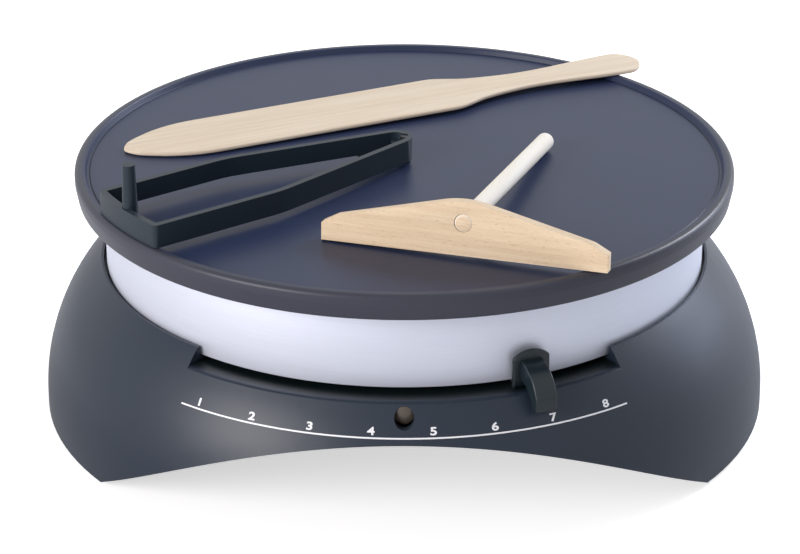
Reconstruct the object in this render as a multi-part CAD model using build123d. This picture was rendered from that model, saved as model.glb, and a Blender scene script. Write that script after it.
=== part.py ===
from build123d import *
from math import asin, atan2, cos, degrees, radians, sin, sqrt, tan
import os

# Electric crepe maker, with its batter spreader, turning spatula and batter rake lying on the plate.
# Millimetres. +Z is up, the floor is z = 0 and the plate's axis is the Z axis. The front, with the
# temperature lever, faces -Y. A bearing is in degrees round the plate from the front towards +X.

# ---------------------------------------------------------------- base shell
base_radius = 192.0          # widest radius of the base
widest_height = 8.0          # the flank leans in above this height
shell_wall = 3.0
foot_height = 2.0            # the shell's lower edge stands this far off the floor
ledge_height = 78.2          # inner ledge that carries the band
ledge_depth = 6.0
ledge_inner_radius = 149.0
lip_height = 5.2             # the lip stands this far above the ledge
lip_wall = 1.3               # the lip's thickness at its top
arch_height = 57.7           # crown of the arch that runs from front to back
leg_depth = 35.2             # from the widest radius in to the arch, at the floor
slot_drop = 2.9              # the slot's floor lies this far under the ledge
slot_half_angle = 39.5       # degrees
slot_edge_radius = 3.2
slot_roll_share = 0.8        # how far the slot's edge rolls over, as a share of the full turn to the flank

# ---------------------------------------------------------------- band and plate
band_radius = 157.6
band_height = 43.8
band_sheet = 0.8
band_gap = 1.6               # between the band and the lip round it
plate_radius = 172.5
plate_thickness = 9.5
skirt_depth = 1.7            # the plate's edge hangs this far under its underside
skirt_gap = 0.4              # between the band and the plate's skirt
rim_draft_width = 1.5        # the rim's side leans in by this much at its foot
bead_height = 2.5
bead_foot_radius = 166.0
bead_slope_width = 1.3
rim_round_radius = 3.0
small_round_radius = 0.8

# ---------------------------------------------------------------- studs that hold plate, pan and base
stud_bearings = (60.0, 120.0, 240.0, 300.0)
stud_circle = 134.0
stud_radius = 2.5
stud_hole_radius = 2.8
boss_radius = 7.0
plate_boss_depth = 8.0
stud_engagement = 10.0       # length of stud inside the plate's boss
lug_width = 22.0
lug_reach = 12.0             # the lug runs this far inward past its stud
lug_boss_height = 5.8
nut_height = 4.0
nut_across_flats = 8.0
stud_end_length = 2.0        # thread left showing under the nut
spacer_wall = 1.9

# ---------------------------------------------------------------- heat reflector
pan_sheet = 0.8
pan_wall_radius = 151.0
pan_wall_height = 15.0
pan_hole_margin = 3.0
pan_gap = 0.2                # between the pan's flange and the band

# ---------------------------------------------------------------- heating element
element_half = 4.0           # half the element's section, which is pressed to flats
element_flats = 8
element_outer_ring = 118.0
element_inner_ring = 72.0
element_start_bearing = 198.0
element_sweep = 322.0
element_turn_radius = 12.0
element_tail_length = 20.0
element_seat_gap = 0.1
clip_bearings = (30.0, 105.0, 150.0, 255.0, 330.0)
clip_width = 12.0
clip_sheet = 1.2
clip_wing = 9.0
clip_play = 0.35             # lets a straight clip sit over the curved bar
bead_radius = 5.5
terminal_bead_height = 7.0
pin_radius = 1.6
pin_length = 9.0

# ---------------------------------------------------------------- thermostat and its lever
bracket_width = 24.0
bracket_sheet = 1.5
bracket_half_web = 24.0
bracket_foot = 13.0
bracket_depth = 15.0
thermostat_radius = 16.0
thermostat_height = 12.0
thermostat_edge = 1.5
neck_radius = 5.0
neck_length = 9.0
spindle_radius = 3.0
spindle_end_gap = 0.2        # at the bottom of its bore
spindle_flat_depth = 0.9
spindle_below_nut = 1.0
running_clearance = 0.05
arm_sheet = 1.6
arm_width = 15.0
arm_lift = 0.6               # running gap between the arm and the slot's floor
hub_radius = 10.0
arm_upright_height = 11.0
arm_upright_width = 12.0
spindle_nut_height = 3.5
spindle_nut_flats = 10.0
thread_clearance = 0.02
tab_width = 6.3
tab_length = 8.0
tab_sheet = 0.8
fuse_radius = 8.0
fuse_height = 9.0
fuse_bearing = 90.0
fuse_circle = 50.0
fuse_ear_half = 12.0
fuse_ear_width = 6.0
fuse_ear_sheet = 1.0
lever_bearing = 22.4         # where the lever rests, between 6 and 7 on the scale
knob_width = 19.5
knob_sheet = 2.2
knob_gap = 1.2               # between the band and the lever's upright
knob_height = 19.1           # crown of the knob above its foot
knob_arch_rise = 3.9
grip_width = 11.4
grip_over_flank = 8.7        # the grip's outer face stands this far out from the flank behind it
grip_drop = 6.4              # how far the grip hangs under the knob's foot
grip_back_height = 14.0      # its back leaves the tab here, above the knob's foot
grip_back = ((0.43, 12.4), (0.76, 8.3), (0.95, 3.0))   # points of its back: share of its reach, and height
grip_throat_height = 3.6     # its underside leaves the tab here
grip_throat = (0.3, 2.6)     # a point of its underside, in the same way
grip_thickness = 5.4         # at its toe
grip_round_radius = 1.4

# ---------------------------------------------------------------- lamp
lamp_height = 69.0
lens_radius = 4.75
lens_clearance = 0.1
lens_recess = 2.2
lens_dome = 1.2
lens_past_ledge = 1.7        # the lens ends this far inward of the ledge's inner edge
lamp_radius = 3.0
lamp_length = 14.0
lamp_nose_radius = 2.4
lamp_gap = 0.2               # between lamp and lens
holder_above_lamp = 2.0
holder_width = 16.0
holder_depth = 9.0

# ---------------------------------------------------------------- bottom cover and wiring
cover_sheet = 2.5
cover_clearance = 0.6
cover_above_arch = 1.3
cover_screw_bearings = (30.0, 150.0, 210.0, 330.0)
screw_past_ledge = 6.0       # the cover's screws sit this far out from the ledge's inner edge
cover_boss_radius = 4.5
screw_radius = 1.6
screw_clearance = 0.2        # in the cover
screw_head_flats = 6.0
screw_head_height = 2.2
screw_length = 9.0
vent_count = 5
vent_pitch = 11.0
vent_width = 3.4
vent_length = 46.0
vent_offset = 62.0
gland_play = 0.15            # round the gland's square neck, in its notch
gland_flange = 3.0
gland_flange_rim = 1.1       # the flanges stand this far past the neck
gland_clamp = 2.0            # the inner flange's thickness
gland_bore_radius = 3.8
gland_tail = 1.8             # the neck runs this far inward past the inner flange
gland_boss_reach = 2.3       # the flat for the gland stands this far out of the wall at its middle
gland_boss_margin = 0.2
gland_boss_roof = 1.6
block_length = 38.0
block_width = 16.0
block_height = 12.0
block_behind_gland = 58.0    # from the gland's flat to the block's middle
block_ways = 3
wire_entry = 4.0             # the entries are square
wire_entry_height = 5.4      # their middle, above the block's foot
clamp_hole_radius = 1.8

# ---------------------------------------------------------------- feet
foot_bearings = (64.0, 116.0, 244.0, 296.0)
foot_inset = 11.0            # from the widest radius in to the feet's middles
foot_radius = 7.0
foot_edge = 0.5
foot_stem_radius = 4.0
foot_stem_length = 9.0
foot_post_radius = 8.8
foot_post_height = 38.0

# ---------------------------------------------------------------- batter spreader
rest_gap = 0.3               # loose pieces rest this far above what carries them
spreader_bearing = 306.2     # the way its two long walls point, out from the plate's axis
spreader_height = 12.1
spreader_wall = 3.3
spreader_end_inset = 2.5     # its outer end lies on the bead, this far in from the plate's edge
spreader_near_side = 24.0    # from the axis across to the front wall's outer face
spreader_far_side = 31.0     # and to the back wall's
spreader_bend = 93.0         # distance out at which the two walls turn parallel
spreader_nose_radius = 9.3
spreader_nose = (-1.5, -5.4) # the middle of its nose, from the pivot
back_wall_lift = 1.9         # the back wall's lower edge is cut back by this much
back_wall_cut = (20.0, 158.0)
pivot_boss_radius = 7.0
pivot_foot_radius = 3.4      # round foot under the pivot, as deep as the bead is high
pivot_radius = 2.0
pivot_hole_depth = 4.5
pivot_hole_clearance = 0.1
peg_radius = 3.9             # at its foot
peg_top_radius = 3.2
peg_height = 22.6            # above the frame
peg_across = -3.9
peg_set_back = 0.8           # in from the frame's outer face
peg_round_radius = 1.0
pin_below_top = 0.5          # the pin ends this far under the frame's top
spreader_corner_radius = 2.5
spreader_bend_radius = 60.0

# ---------------------------------------------------------------- spatula
spatula_length = 307.5
spatula_thickness = 2.4
blade_half_width = 22.1
blade_tip_length = 46.0
blade_tip_curve = ((2.5, 5.3), (13.5, 13.4))   # two points of the round tip: back from it, and across
blade_length = 184.0         # where the blade begins to narrow
throat_distance = 206.0
throat_half_width = 14.7
neck_distance = 227.0
neck_half_width = 10.9
grip_distance = 296.0
grip_half_width = 13.9
spatula_tip = (-148.0, 11.8)
spatula_heading = 24.45      # degrees from +X towards +Y

# ---------------------------------------------------------------- batter rake
rake_length = 146.0
rake_thickness = 5.6
rake_end_height = 9.0
rake_shoulder_length = 8.0
rake_shoulder_height = 13.3
rake_crown_height = 27.7
rake_crown_half_width = 14.0
rake_slope_top_height = 25.7
rake_edge_radius = 1.0
dowel_radius = 4.65
dowel_height = 16.7
dowel_length = 143.2        # behind the head
dowel_round_radius = 1.5
rake_corner = (-41.1, -102.6)
rake_heading = -18.2         # degrees from +X towards +Y

# ---------------------------------------------------------------- heights worked out from the above
slot_floor = ledge_height - slot_drop
ledge_under = ledge_height - ledge_depth
lip_top = ledge_height + lip_height
lip_inner_radius = band_radius + band_gap
plate_under = ledge_height + band_height
plate_face = plate_under + plate_thickness
bead_top = plate_face + bead_height
bead_top_radius = bead_foot_radius + bead_slope_width
cover_under = arch_height + cover_above_arch
cover_top = cover_under + cover_sheet
pan_floor = ledge_height + lug_boss_height
loose_floor = plate_face + rest_gap
spreader_floor = bead_top + rest_gap
arm_under = slot_floor + arm_lift
lip_lean = base_radius - lip_inner_radius - lip_wall
flank_radius = (lip_lean ** 2 + (lip_top - widest_height) ** 2) / (2 * lip_lean)
flank_centre = base_radius - flank_radius
arch_half_span = base_radius - leg_depth
foot_circle = base_radius - foot_inset
cover_screw_circle = ledge_inner_radius + screw_past_ledge
spreader_end_radius = plate_radius - spreader_end_inset
gland_height = (cover_top + ledge_under) / 2
gland_half = (ledge_under - cover_top) / 2 - gland_play
gland_rim = gland_half + gland_flange_rim


def place(radius, bearing):
    """The point at this radius and bearing, as x and y."""
    return radius * sin(radians(bearing)), -radius * cos(radians(bearing))


def flank(height, inset=0.0):
    """Radius of the base's flank at a height, or of the same curve set in by a wall."""
    rise = max(height - widest_height, 0.0)
    return flank_centre + sqrt((flank_radius - inset) ** 2 - rise ** 2)


def rod(radius, low, high, at=(0.0, 0.0)):
    """An upright round bar."""
    return Pos(at[0], at[1], (low + high) / 2) * Cylinder(radius, high - low)


def turned(points):
    """A solid turned about the Z axis from a closed outline of (radius, height) points."""
    return revolve(Plane.XZ * make_face(Polyline(*points, close=True)), Axis.Z)


def rounded(outline, corners, radius):
    """Round the corners of a flat outline that lie at the given points."""
    chosen = [v for v in outline.vertices() if any((v.center() - Vector(*c)).length < 1e-4 for c in corners)]
    return fillet(chosen, radius)


def flank_form(low, high, inset=0.0):
    """The solid inside the base's flank between two heights."""
    wide = base_radius - inset
    outline = [Line((0, low), (wide, low)), Line((wide, low), (wide, widest_height))]
    middle = (widest_height + high) / 2
    outline.append(ThreePointArc((wide, widest_height), (flank(middle, inset), middle), (flank(high, inset), high)))
    outline += [Line((flank(high, inset), high), (0, high)), Line((0, high), (0, low))]
    return revolve(Plane.XZ * make_face(outline), Axis.Z)


def block(wide, y, z):
    """An upright block that is wide to both sides of x = 0, between two values of y and two of z."""
    return Pos(0, sum(y) / 2, sum(z) / 2) * Box(2 * wide, y[1] - y[0], z[1] - z[0])


def hexagon(flats, height, at_z, hole, at=(0.0, 0.0)):
    """A hexagon nut with its hole, standing on at_z."""
    blank = extrude(RegularPolygon(flats / 2, 6, major_radius=False), height)
    return Pos(at[0], at[1], at_z) * (blank - rod(hole, -1, height + 1))


# ---------------------------------------------------------------- base
def base_shell():
    """One moulding: a dome-sided shell, the arch cut from front to back, the lip, ledge and lever slot."""
    form = flank_form(foot_height, lip_top)
    rim = gland_rim + gland_boss_margin
    boss_top = gland_height + rim + gland_boss_roof
    shell = form + block(rim, (ledge_inner_radius, gland_seat()), (gland_height - rim, boss_top))
    shell -= block(rim, (gland_seat(), base_radius), (gland_height - rim, boss_top + 1))
    shell -= flank_form(foot_height, ledge_under, shell_wall)
    shell -= rod(lip_inner_radius, ledge_height, lip_top + 1)
    shell -= rod(ledge_inner_radius, ledge_under - 1, lip_top)
    for bearing in stud_bearings:
        x, y = place(stud_circle, bearing)
        reach = ledge_inner_radius + lug_reach
        lug = Pos((stud_circle - lug_reach + reach) / 2, 0, (ledge_under + ledge_height) / 2)
        lug *= Box(reach - stud_circle + lug_reach, lug_width, ledge_depth)
        shell += Rot(0, 0, bearing - 90) * lug
        shell += rod(boss_radius, ledge_height, pan_floor, (x, y))
    for bearing in cover_screw_bearings:
        shell += rod(cover_boss_radius, cover_top, ledge_under, place(cover_screw_circle, bearing))
    for bearing in foot_bearings:
        post = rod(foot_post_radius, foot_height, foot_height + foot_post_height, place(foot_circle, bearing))
        shell += post & form
    shell -= arch_form()
    shell -= slot_form()
    for bearing in stud_bearings:
        shell -= rod(stud_hole_radius, ledge_under - 1, pan_floor + 1, place(stud_circle, bearing))
    for bearing in cover_screw_bearings:
        hole_top = cover_under + screw_length + 1
        shell -= rod(screw_radius, cover_under, hole_top, place(cover_screw_circle, bearing))
    for bearing in foot_bearings:
        stem = foot_stem_radius + running_clearance
        shell -= rod(stem, 0, foot_height + foot_stem_length + running_clearance, place(foot_circle, bearing))
    lamp_hole = Cylinder(lens_radius + lens_clearance, base_radius - ledge_inner_radius + 1)
    shell -= Pos(0, -(base_radius + ledge_inner_radius) / 2, lamp_height) * Rot(90, 0, 0) * lamp_hole
    return shell - block(gland_half + gland_play, (ledge_inner_radius, base_radius), (arch_height - 1, ledge_under))


def arch_form():
    """The round bar, lying from front to back, that the arch is the print of."""
    radius = (arch_height ** 2 + arch_half_span ** 2) / (2 * arch_height)
    bar = Cylinder(radius, 3 * base_radius)
    return Pos(0, 0, arch_height - radius) * Rot(90, 0, 0) * bar


def slot_form():
    """What the lever's slot takes out of the lip and ledge: a ring sector whose floor rolls over the flank."""
    slope = asin((slot_floor - widest_height) / flank_radius)
    roll = slot_roll_share * (radians(90) - slope)
    start = flank(slot_floor) - slot_edge_radius * (sin(roll) - (1 - cos(roll)) * tan(slope))

    def on_roll(angle):
        return start + slot_edge_radius * sin(angle), slot_floor - slot_edge_radius * (1 - cos(angle))

    past = Vector(*on_roll(roll)) + Vector(cos(roll), -sin(roll)) * slot_edge_radius
    inner, high = ledge_inner_radius - shell_wall, lip_top + shell_wall
    outline = make_face([
        Line((inner, high), (inner, slot_floor)), Line((inner, slot_floor), (start, slot_floor)),
        ThreePointArc((start, slot_floor), on_roll(roll / 2), on_roll(roll)), Line(on_roll(roll), past),
        Line(past, (past.X, high)), Line((past.X, high), (inner, high))])
    ring = revolve(Plane.XZ * outline, Axis.Z, 2 * slot_half_angle)
    return Rot(0, 0, -90 - slot_half_angle) * ring


def bottom_cover():
    """Pressed cover that closes the base above the arch, with vent slots and screw holes."""
    cover = rod(flank(cover_top, shell_wall) - cover_clearance, cover_under, cover_top)
    for bearing in cover_screw_bearings:
        cover -= rod(screw_radius + screw_clearance, cover_under - 1, cover_top + 1, place(cover_screw_circle, bearing))
    slot = Box(vent_length, vent_width, 3 * cover_sheet)
    for side in (-1, 1):
        for row in range(vent_count):
            y = (row - (vent_count - 1) / 2) * vent_pitch
            cover -= Pos(side * vent_offset, y, cover_under) * slot
    return cover


def cover_screws():
    """Hexagon-head screws that hold the cover to the bosses under the ledge."""
    head = extrude(RegularPolygon(screw_head_flats / 2, 6, major_radius=False), -screw_head_height)
    screw = rod(screw_radius, 0, screw_length) + head
    spots = [place(cover_screw_circle, bearing) for bearing in cover_screw_bearings]
    return [Pos(x, y, cover_under) * screw for x, y in spots]


def foot(bearing):
    """Rubber foot: a pad under the shell's edge, and a stem pressed into its post."""
    pad = rod(foot_radius, 0, foot_height)
    pad = chamfer(pad.edges().group_by(Axis.Z)[0], foot_edge)
    stem = rod(foot_stem_radius, foot_height, foot_height + foot_stem_length)
    x, y = place(foot_circle, bearing)
    return Pos(x, y, 0) * (pad + stem)


# ---------------------------------------------------------------- plate, band and what holds them
def cooking_plate():
    """Cast plate: flat face, raised bead, skirt over the band, bosses under it and the pivot's blind hole."""
    skirt_inner = band_radius + skirt_gap
    skirt_foot = plate_under - skirt_depth
    foot_corner = (plate_radius - rim_draft_width, skirt_foot)
    top_corner = (plate_radius, bead_top)
    bead_corner = (bead_top_radius, bead_top)
    bead_foot = (bead_foot_radius, plate_face)
    points = [(0, plate_under), (skirt_inner, plate_under), (skirt_inner, skirt_foot), foot_corner,
              (plate_radius, plate_face - rim_round_radius), top_corner, bead_corner, bead_foot, (0, plate_face)]
    outline = make_face(Polyline(*points, close=True))
    outline = rounded(outline, [top_corner], rim_round_radius)
    outline = rounded(outline, [foot_corner], 2 * small_round_radius)
    outline = rounded(outline, [bead_corner, bead_foot], small_round_radius)
    plate = revolve(Plane.XZ * outline, Axis.Z)
    for bearing in stud_bearings:
        spot = place(stud_circle, bearing)
        plate += rod(boss_radius, plate_under - plate_boss_depth, plate_under, spot)
        plate -= rod(stud_radius + thread_clearance, plate_under - plate_boss_depth - 1,
                     plate_under - plate_boss_depth + stud_engagement, spot)
    plate -= rod(pivot_radius + pivot_hole_clearance, plate_face - pivot_hole_depth, bead_top)
    return plate


def metal_band():
    """Rolled sheet band that stands on the ledge and closes the space under the plate."""
    return rod(band_radius, ledge_height, plate_under) - rod(
        band_radius - band_sheet, ledge_height - 1, plate_under + 1)


def reflector_pan():
    """Pressed pan: floor on the base's bosses, wall, and a flange that reaches the band."""
    flange = band_radius - band_sheet - pan_gap
    top = pan_floor + pan_wall_height
    inner = pan_wall_radius - pan_sheet
    pan = turned([(0, pan_floor), (pan_wall_radius, pan_floor), (pan_wall_radius, top - pan_sheet),
                  (flange, top - pan_sheet), (flange, top), (inner, top), (inner, pan_floor + pan_sheet),
                  (0, pan_floor + pan_sheet)])
    holes = [(stud_hole_radius, place(stud_circle, bearing)) for bearing in stud_bearings]
    holes.append((spindle_radius + pan_hole_margin, (0, 0)))
    holes += [(bead_radius + pan_hole_margin, spot) for spot in element_tail_spots()]
    for radius, spot in holes:
        pan -= rod(radius, pan_floor - 1, pan_floor + 2 * pan_sheet, spot)
    return pan


def plate_studs():
    """Four studs from the plate's bosses down through spacer, pan and lug."""
    low = ledge_under - nut_height - stud_end_length
    high = plate_under - plate_boss_depth + stud_engagement
    return [rod(stud_radius, low, high, place(stud_circle, bearing)) for bearing in stud_bearings]


def stud_nuts():
    """Hexagon nuts under the lugs."""
    spots = [place(stud_circle, bearing) for bearing in stud_bearings]
    hole, low = stud_radius + thread_clearance, ledge_under - nut_height
    return [hexagon(nut_across_flats, nut_height, low, hole, spot) for spot in spots]


def spacer_tubes():
    """Hexagon tubes between the pan's floor and the plate's bosses."""
    low, high = pan_floor + pan_sheet, plate_under - plate_boss_depth
    flats = 2 * (stud_hole_radius + spacer_wall)
    spots = [place(stud_circle, bearing) for bearing in stud_bearings]
    return [hexagon(flats, high - low, low, stud_hole_radius, s) for s in spots]


# ---------------------------------------------------------------- heating element
def element_level():
    return plate_under - element_seat_gap - element_half


def along_ring(bearing):
    """Direction of travel round a ring, as the bearing grows."""
    return Vector(cos(radians(bearing)), sin(radians(bearing)), 0)


def element_tail_spots():
    """Where the element's two ends hang down."""
    back = along_ring(element_start_bearing) * element_turn_radius
    spots = []
    for ring in (element_outer_ring, element_inner_ring):
        x, y = place(ring, element_start_bearing)
        spots.append((x - back.X, y - back.Y))
    return spots


def heating_element():
    """Sheathed bar with flats: an outer and an inner ring joined by a hairpin, with both ends bent down."""
    level = element_level()
    start = element_start_bearing - 90            # the same direction as an angle from +X
    end = start + element_sweep
    middle = (element_outer_ring + element_inner_ring) / 2
    half = (element_outer_ring - element_inner_ring) / 2
    rings = [CenterArc((0, 0), element_outer_ring, start, element_sweep),
             CenterArc((middle * cos(radians(end)), middle * sin(radians(end))), half, end, 180),
             CenterArc((0, 0), element_inner_ring, start, element_sweep)]
    path = [Pos(0, 0, level) * ring for ring in rings]
    ahead = along_ring(element_start_bearing)
    for ring in (element_outer_ring, element_inner_ring):
        x, y = place(ring, element_start_bearing)
        top = Vector(x, y, level)
        centre = top - Vector(0, 0, element_turn_radius)
        side = centre - ahead * element_turn_radius
        mid = centre + (Vector(0, 0, 1) - ahead) * (element_turn_radius * sin(radians(45)))
        path.append(ThreePointArc(side, mid, top))
        path.append(Line(side - Vector(0, 0, element_tail_length), side))
    wire = Wire(path)
    outward = Vector(*place(1, element_start_bearing))
    flats = RegularPolygon(element_half, element_flats, major_radius=False, rotation=180 / element_flats)
    section = Plane(origin=wire @ 0, x_dir=outward, z_dir=wire % 0) * flats
    return sweep(section, path=wire)


def terminal_beads():
    """Ceramic bead and steel pin at each end of the element."""
    high = element_level() - element_turn_radius - element_tail_length
    parts = []
    for spot in element_tail_spots():
        bead = rod(bead_radius, high - terminal_bead_height, high, spot)
        parts.append(bead + rod(pin_radius, high - terminal_bead_height - pin_length, high, spot))
    return parts


def element_clips():
    """Saddle clips that hold the element up against the plate."""
    level = element_level()
    inner = element_half + clip_play
    outer, low, wing_top = inner + clip_sheet, -inner - clip_sheet, element_half
    half = [(0, low), (outer, low), (outer, wing_top - clip_sheet), (outer + clip_wing, wing_top - clip_sheet),
            (outer + clip_wing, wing_top), (inner, wing_top), (inner, -inner), (0, -inner)]
    outline = make_face(Polyline(*half, *[(-x, z) for x, z in reversed(half)][1:-1], close=True))
    clip = extrude(Plane.XZ * outline, clip_width / 2, both=True)
    clips = []
    for bearing in clip_bearings:
        for ring in (element_outer_ring, element_inner_ring):
            x, y = place(ring, bearing)
            clips.append(Pos(x, y, level) * Rot(0, 0, bearing - 90) * clip)
    return clips


# ---------------------------------------------------------------- thermostat
def thermostat_bracket():
    """Hat-shaped strip under the plate that the thermostat hangs in."""
    low = plate_under - bracket_depth
    half, reach = bracket_half_web, bracket_half_web + bracket_foot
    outline = make_face(Polyline(
        (-reach, plate_under), (-half, plate_under), (-half, low + bracket_sheet), (half, low + bracket_sheet),
        (half, plate_under), (reach, plate_under), (reach, plate_under - bracket_sheet),
        (half + bracket_sheet, plate_under - bracket_sheet), (half + bracket_sheet, low),
        (-half - bracket_sheet, low), (-half - bracket_sheet, plate_under - bracket_sheet),
        (-reach, plate_under - bracket_sheet), close=True))
    bracket = extrude(Plane.XZ * outline, bracket_width / 2, both=True)
    return bracket - rod(neck_radius + running_clearance, low - 1, low + 2 * bracket_sheet)


def thermostat_base():
    return plate_under - bracket_depth + bracket_sheet


def thermostat_body():
    """Round thermostat, its threaded neck pointing down through the bracket, bored for the spindle."""
    base = thermostat_base()
    body = rod(thermostat_radius, base, base + thermostat_height)
    body = chamfer(body.edges().group_by(Axis.Z)[-1], thermostat_edge)
    for side in (-1, 1):
        tab = Box(tab_width, tab_length, tab_sheet, align=(Align.CENTER, Align.MIN, Align.CENTER))
        turn = Rot(0, 0, 0 if side > 0 else 180)
        body += turn * Pos(0, thermostat_radius - 1, base + thermostat_height / 2) * tab
    neck_low = base - bracket_sheet - neck_length
    body += rod(neck_radius, neck_low, base)
    return body - rod(spindle_radius + running_clearance, neck_low - 1, base + thermostat_height / 2)


def thermal_fuse():
    """Thermal cut-out: a disc against the plate, with its ears and two tabs."""
    body = rod(fuse_radius, plate_under - fuse_height, plate_under)
    ears = Box(2 * fuse_ear_half, fuse_ear_width, fuse_ear_sheet, align=(Align.CENTER, Align.CENTER, Align.MAX))
    body += Pos(0, 0, plate_under) * ears
    for side in (-1, 1):
        body += Pos(side * fuse_radius / 2, 0, plate_under - fuse_height) * Box(
            tab_sheet, tab_width, tab_length, align=(Align.CENTER, Align.CENTER, Align.MAX))
    x, y = place(fuse_circle, fuse_bearing)
    return Pos(x, y, 0) * Rot(0, 0, 90) * body


def thermostat_spindle():
    """Steel spindle with a flat at its foot for the lever's arm."""
    high = thermostat_base() + thermostat_height / 2 - spindle_end_gap
    low = arm_under - spindle_nut_height - spindle_below_nut
    spindle = rod(spindle_radius, low, high)
    flat = Pos(0, 2 * spindle_radius - spindle_flat_depth, (low + arm_under + arm_sheet) / 2)
    return spindle - flat * Box(4 * spindle_radius, 2 * spindle_radius, arm_under + arm_sheet - low)


def spindle_nut():
    """Nut that clamps the arm on the spindle."""
    return hexagon(spindle_nut_flats, spindle_nut_height, arm_under - spindle_nut_height, spindle_radius + thread_clearance)


def upright_radius():
    """Distance from the axis to the inner face of the lever's upright."""
    return band_radius + knob_gap


def at_lever(shape):
    """Turn a piece that was made at the front to where the lever rests."""
    return Rot(0, 0, lever_bearing) * shape


def lever_arm():
    """Sheet arm from the spindle out through the slot, its end bent up behind the knob."""
    reach = upright_radius() + arm_sheet
    arm = extrude(Circle(hub_radius), arm_sheet)
    arm += Pos(0, -reach / 2, arm_sheet / 2) * Box(arm_width, reach, arm_sheet)
    upright = Pos(0, -reach + arm_sheet / 2, arm_upright_height / 2)
    arm += upright * Box(arm_upright_width, arm_sheet, arm_upright_height)
    arm -= rod(spindle_radius + thread_clearance, -1, 2 * arm_sheet)
    return at_lever(Pos(0, 0, arm_under) * arm)


def lever_knob():
    """Moulded knob: an arched tab in front of the band, and a hooked finger grip over the slot's edge."""
    face = upright_radius() + arm_sheet
    front = face + knob_sheet
    half = knob_width / 2
    shoulder = knob_height - knob_arch_rise
    tab_outline = make_face([
        Line((-half, shoulder), (-half, 0)), Line((-half, 0), (half, 0)), Line((half, 0), (half, shoulder)),
        ThreePointArc((half, shoulder), (0, knob_height), (-half, shoulder))])
    tab = Pos(0, -face, 0) * extrude(Plane.XZ * tab_outline, knob_sheet)
    tip = flank(arm_under - grip_drop) + grip_over_flank
    root = front - knob_sheet / 2

    def outward(share, height):
        return root + share * (tip - root), height

    toe, heel = (tip, -grip_drop), (tip - grip_thickness, -grip_drop)
    back = Spline((root, grip_back_height), *[outward(*point) for point in grip_back], (tip, 0), tangents=((1, 0), (0, -1)))
    belly = Spline(heel, outward(*grip_throat), (root, grip_throat_height), tangents=((0, 1), (-1, 0)))
    side = make_face([back, Line((tip, 0), toe), Line(toe, heel), belly,
                      Line((root, grip_throat_height), (root, grip_back_height))])
    side = rounded(side, [toe, heel], grip_round_radius)
    grip = extrude(Plane.YZ * mirror(side, Plane.YZ), grip_width / 2, both=True)
    return at_lever(Pos(0, 0, arm_under) * (tab + grip))


# ---------------------------------------------------------------- lamp, wiring and gland
def indicator_lens():
    """Clear lens and light pipe, set back in the front wall, its face slightly domed."""
    face = flank(lamp_height) - lens_recess
    dome_radius = (lens_radius ** 2 + lens_dome ** 2) / (2 * lens_dome)
    lens = Pos(0, 0, -dome_radius + lens_dome) * Sphere(dome_radius)
    length = face - lens_dome - lens_back()
    lens &= Pos(0, 0, -length / 2 + lens_dome) * Cylinder(lens_radius, length + lens_dome)
    pipe = Pos(0, 0, -length / 2) * Cylinder(lens_radius, length)
    return Pos(0, -face + lens_dome, lamp_height) * Rot(90, 0, 0) * (lens + pipe)


def lens_back():
    """Distance from the axis to the lens's inner end."""
    return ledge_inner_radius - lens_past_ledge


def indicator_lamp():
    """Neon lamp, its round nose against the lens."""
    lamp = Cylinder(lamp_radius, lamp_length, align=(Align.CENTER, Align.CENTER, Align.MAX))
    lamp = fillet(lamp.edges().group_by(Axis.Z)[-1], lamp_nose_radius)
    return Pos(0, -lens_back() + lamp_gap, lamp_height) * Rot(90, 0, 0) * lamp


def lamp_holder():
    """Block on the cover that holds the lamp in line with the lens."""
    top = lamp_height + lamp_radius + holder_above_lamp
    centre = lens_back() - lamp_length / 2
    holder = Pos(0, -centre, (cover_top + top) / 2) * Box(holder_width, holder_depth, top - cover_top)
    hole = Cylinder(lamp_radius + thread_clearance, 2 * holder_depth)
    return holder - Pos(0, -centre, lamp_height) * Rot(90, 0, 0) * hole


def terminal_block():
    """Screw terminal block on the cover, behind the cord's gland."""
    body = Box(block_length, block_width, block_height, align=(Align.CENTER, Align.CENTER, Align.MIN))
    pitch = block_length / block_ways
    for way in range(block_ways):
        x = (way - (block_ways - 1) / 2) * pitch
        body -= Pos(x, 0, wire_entry_height) * Box(wire_entry, 2 * block_width, wire_entry)
        for side in (-1, 1):
            body -= rod(clamp_hole_radius, wire_entry_height, block_height + 1, (x, side * block_width / 4))
    return Pos(0, gland_seat() - block_behind_gland, cover_top) * body


def gland_seat():
    """Distance from the axis to the flat at the back that the gland's flange bears on."""
    return flank(gland_height) + gland_boss_reach


def cord_gland():
    """Square gland for the mains lead, held between cover and ledge, with a flange on each side of the wall."""
    seat = gland_seat()
    height = (gland_height - gland_rim, gland_height + gland_rim)
    neck = (gland_height - gland_half, gland_height + gland_half)
    flange = block(gland_rim, (seat, seat + gland_flange), height)
    flange = chamfer(flange.faces().sort_by(Axis.Y)[-1].edges(), gland_flange / 3)
    clamp_face = flank(ledge_under, shell_wall) - 2 * gland_play
    inner_end = clamp_face - gland_clamp - gland_tail
    body = flange + block(gland_half, (inner_end, seat), neck)
    body += block(gland_rim, (clamp_face - gland_clamp, clamp_face), neck)
    bore = Cylinder(gland_bore_radius, 3 * (seat - inner_end))
    return body - Pos(0, seat, gland_height) * Rot(-90, 0, 0) * bore


# ---------------------------------------------------------------- batter spreader
def at_spreader(shape):
    """Turn a piece that was made along -Y to the spreader's bearing, and set it down on the bead."""
    return Pos(0, 0, spreader_floor) * Rot(0, 0, spreader_bearing) * shape


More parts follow.
